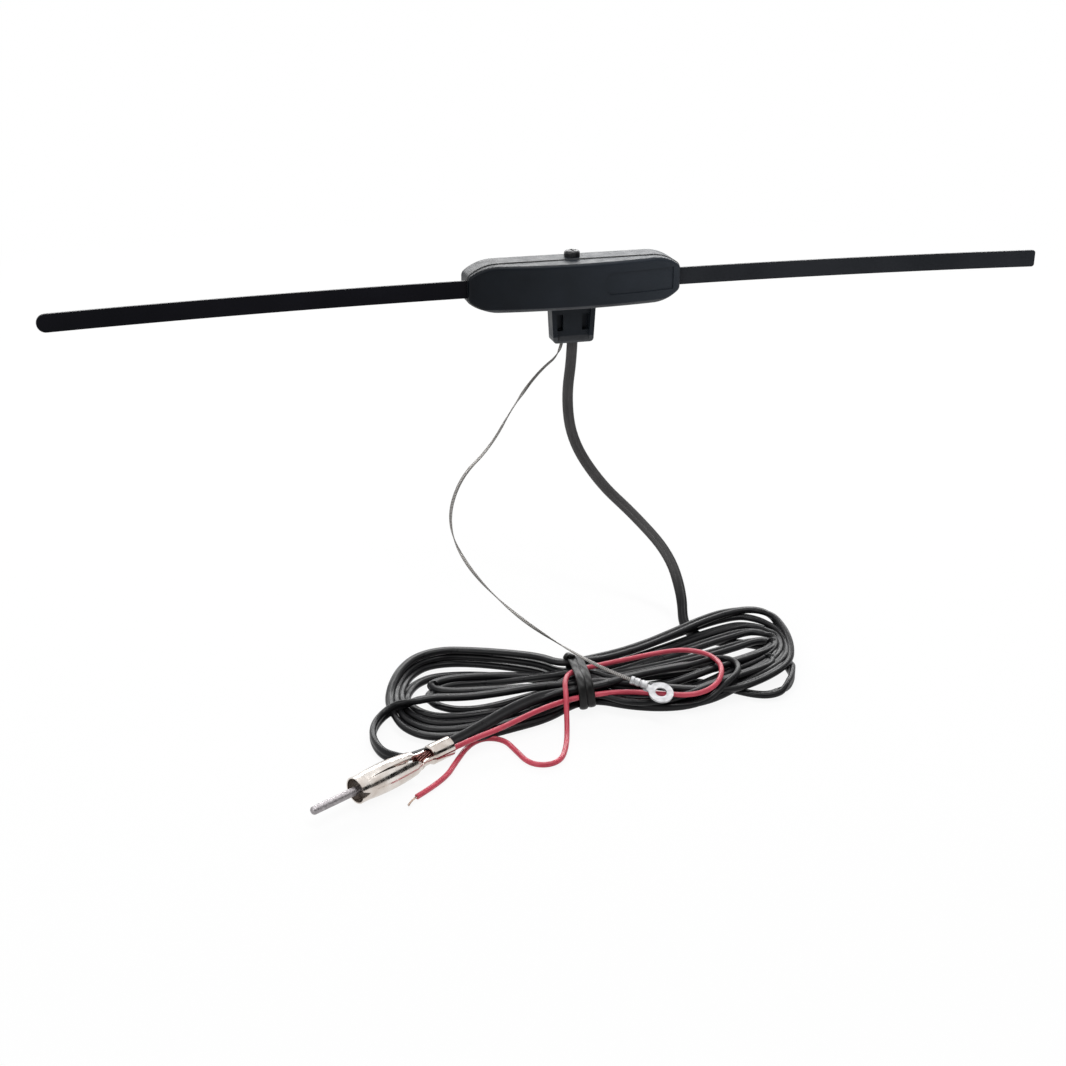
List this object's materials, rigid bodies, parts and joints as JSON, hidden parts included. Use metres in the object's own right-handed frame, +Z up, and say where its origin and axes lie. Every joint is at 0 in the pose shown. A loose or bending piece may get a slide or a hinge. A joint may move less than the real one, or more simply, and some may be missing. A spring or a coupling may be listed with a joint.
{
  "type": "glass-mount car antenna",
  "caption": "Glass-mount car antenna with a slim amplifier housing on an adhesive pad, flexible strip arms, a tied hank of lead with an aerial plug, a supply wire and an earth strap.",
  "frame": {"origin": "middle of the adhesive pad's face that sticks to the glass", "axes": "+X along the arms, +Y out of the pad into the glass, +Z up; the front faces -Y"},
  "size_m": [0.4212, 0.1763, 0.1487],
  "materials": {
    "housing_plastic": "finely moulded satin black",
    "arm_sheath": "smooth satin black",
    "adhesive_foam": "matt foam tape",
    "board_laminate": "solder-resist green",
    "tinned_steel": "dull tinned",
    "eyelet_brass": "bright",
    "black_steel": "black zinc",
    "component_black": "moulded",
    "capacitor_sleeve": "shrunk sleeve",
    "winding": "enamelled copper",
    "disc_ceramic": "dipped",
    "resistor_body": "lacquered",
    "lead_jacket": "smooth black",
    "tie_plastic": "smooth black",
    "plug_metal": "dull tinned sheet",
    "plug_bush": "natural",
    "red_insulation": "smooth",
    "bare_copper": "bare strands",
    "tinned_braid": "woven"
  },
  "bodies": {
    "root": {"front_cover": "housing_plastic", "back_shell": "housing_plastic", "cable_outlet": "housing_plastic", "left_arm": "arm_sheath", "right_arm": "arm_sheath", "mounting_pad": "adhesive_foam", "circuit_board": "board_laminate", "rivet_washers": "tinned_steel", "cover_screws": "tinned_steel", "ring_terminal": "tinned_steel", "arm_rivets": "eyelet_brass", "top_screw": "black_steel", "transistor": "component_black", "electrolytic_capacitor": "capacitor_sleeve", "choke_coil": "winding", "ceramic_capacitors": "disc_ceramic", "resistors": "resistor_body", "coax_lead": "lead_jacket", "coax_hank": "lead_jacket", "coax_tail": "lead_jacket", "hank_tie": "tie_plastic", "plug_shell": "plug_metal", "plug_pin": "plug_metal", "plug_insulator": "plug_bush", "power_wire": "red_insulation", "power_wire_core": "bare_copper", "earth_strap": "tinned_braid"}
  },
  "joints": []
}
